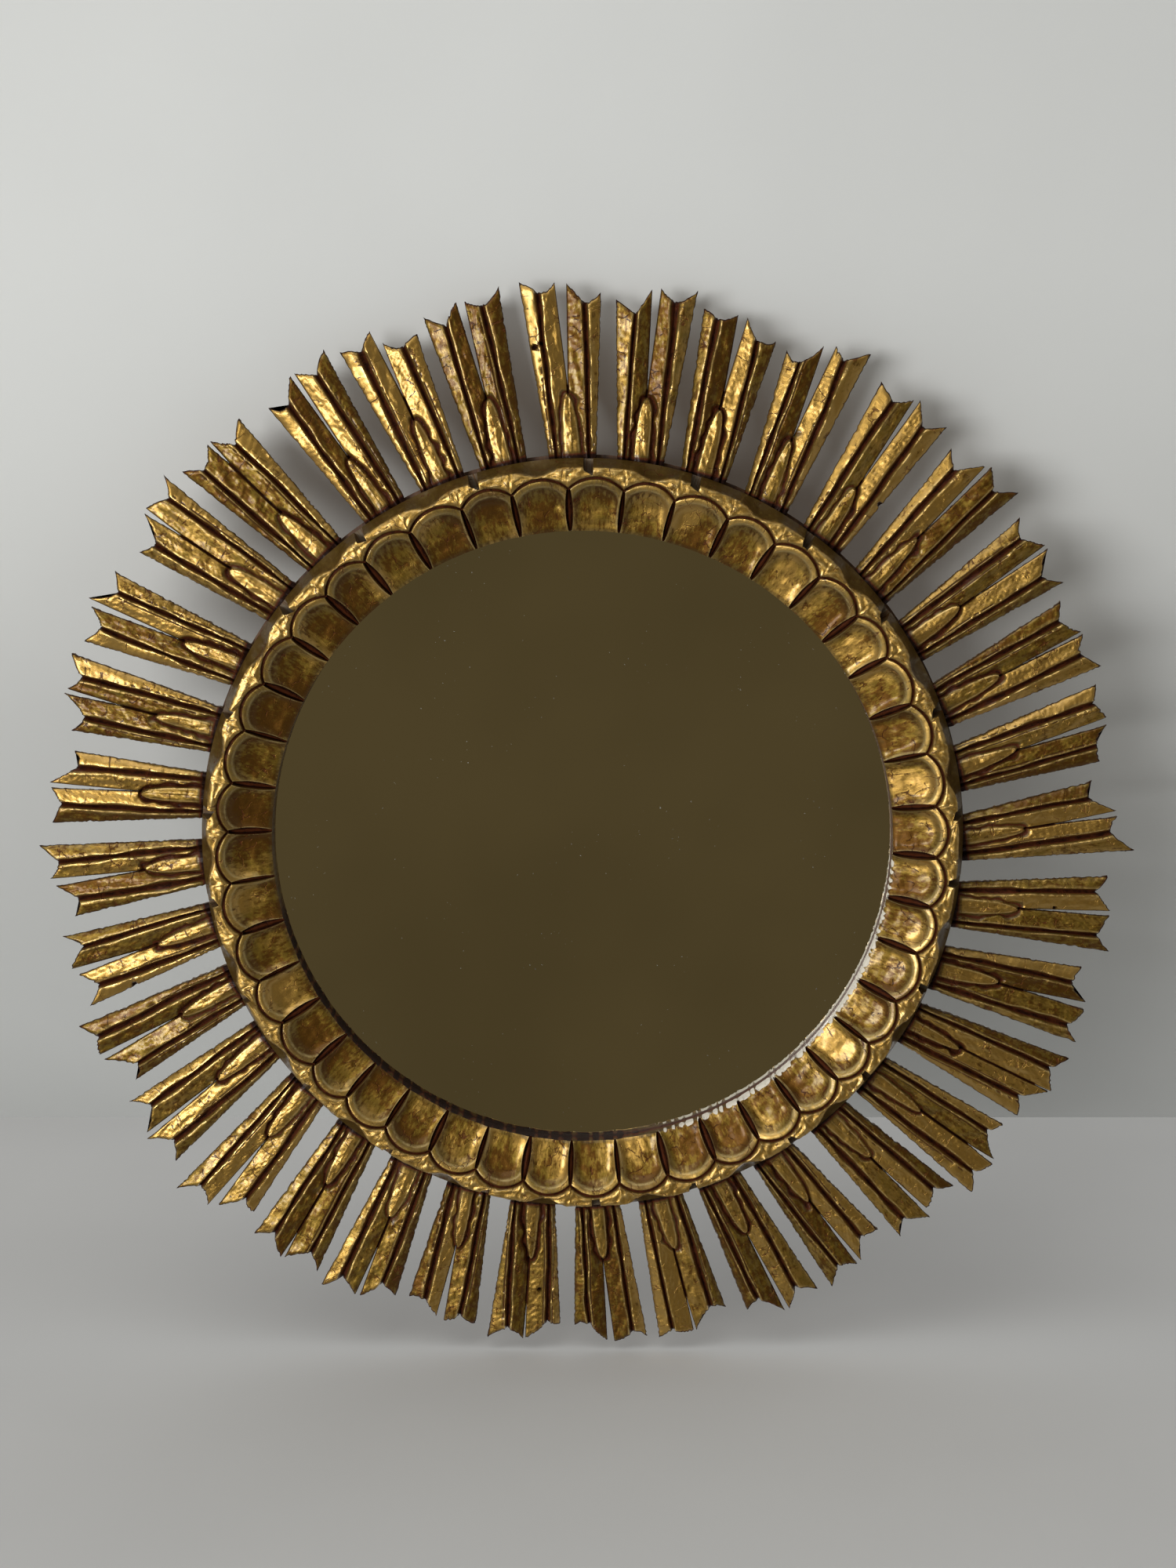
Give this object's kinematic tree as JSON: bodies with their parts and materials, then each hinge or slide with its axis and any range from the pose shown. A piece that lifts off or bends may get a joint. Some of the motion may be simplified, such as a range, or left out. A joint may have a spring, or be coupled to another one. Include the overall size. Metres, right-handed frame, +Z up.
{
  "type": "sunburst mirror",
  "caption": "Round wall mirror in a carved and gilded wooden ring with split pointed rays, on a backing disc with a hanging loop.",
  "frame": {"origin": "centre of the backing disc's wall face, which lies against the wall", "axes": "+Z up along the wall, +Y into the wall away from the viewer, +X to the viewer's right; the glass faces -Y"},
  "size_m": [0.5142, 0.03, 0.5047],
  "materials": {
    "ring_gilding": "water-gilded gesso on carved wood, rubbed and crackled",
    "ray_gilding": "water-gilded gesso on carved wood, rubbed and crackled",
    "silvered_glass": "back-silvered float glass, slightly foxed",
    "card": "plain grey-brown card",
    "disc_wood": "dark stained plywood",
    "iron_brads": "dark cut iron",
    "iron_nails": "dark cut iron",
    "hanger_brass": "dull aged brass",
    "hanger_wire": "dull aged brass wire",
    "hanger_screw_steel": "aged steel"
  },
  "bodies": {
    "mirror": {"carved_ring": "ring_gilding", "ray_01": "ray_gilding", "ray_02": "ray_gilding", "ray_03": "ray_gilding", "ray_04": "ray_gilding", "ray_05": "ray_gilding", "ray_06": "ray_gilding", "ray_07": "ray_gilding", "ray_08": "ray_gilding", "ray_09": "ray_gilding", "ray_10": "ray_gilding", "ray_11": "ray_gilding", "ray_12": "ray_gilding", "ray_13": "ray_gilding", "ray_14": "ray_gilding", "ray_15": "ray_gilding", "ray_16": "ray_gilding", "ray_17": "ray_gilding", "ray_18": "ray_gilding", "ray_19": "ray_gilding", "ray_20": "ray_gilding", "ray_21": "ray_gilding", "ray_22": "ray_gilding", "ray_23": "ray_gilding", "ray_24": "ray_gilding", "ray_25": "ray_gilding", "ray_26": "ray_gilding", "ray_27": "ray_gilding", "ray_28": "ray_gilding", "ray_29": "ray_gilding", "ray_30": "ray_gilding", "ray_31": "ray_gilding", "ray_32": "ray_gilding", "ray_33": "ray_gilding", "ray_34": "ray_gilding", "ray_35": "ray_gilding", "ray_36": "ray_gilding", "mirror_glass": "silvered_glass", "packing_card": "card", "backing_disc": "disc_wood", "ray_brads": "iron_brads", "backing_nails": "iron_nails", "hanger_strap": "hanger_brass", "hanger_screw": "hanger_screw_steel"},
    "hanging_loop": {"hanger_loop": "hanger_wire"}
  },
  "joints": [
    {"name": "hanger_hinge", "type": "hinge", "parent": "mirror", "child": "hanging_loop", "pos_m": [0, 0.00235, 0.1759], "axis": [1, 0, 0], "range_deg": [0, 180]}
  ]
}
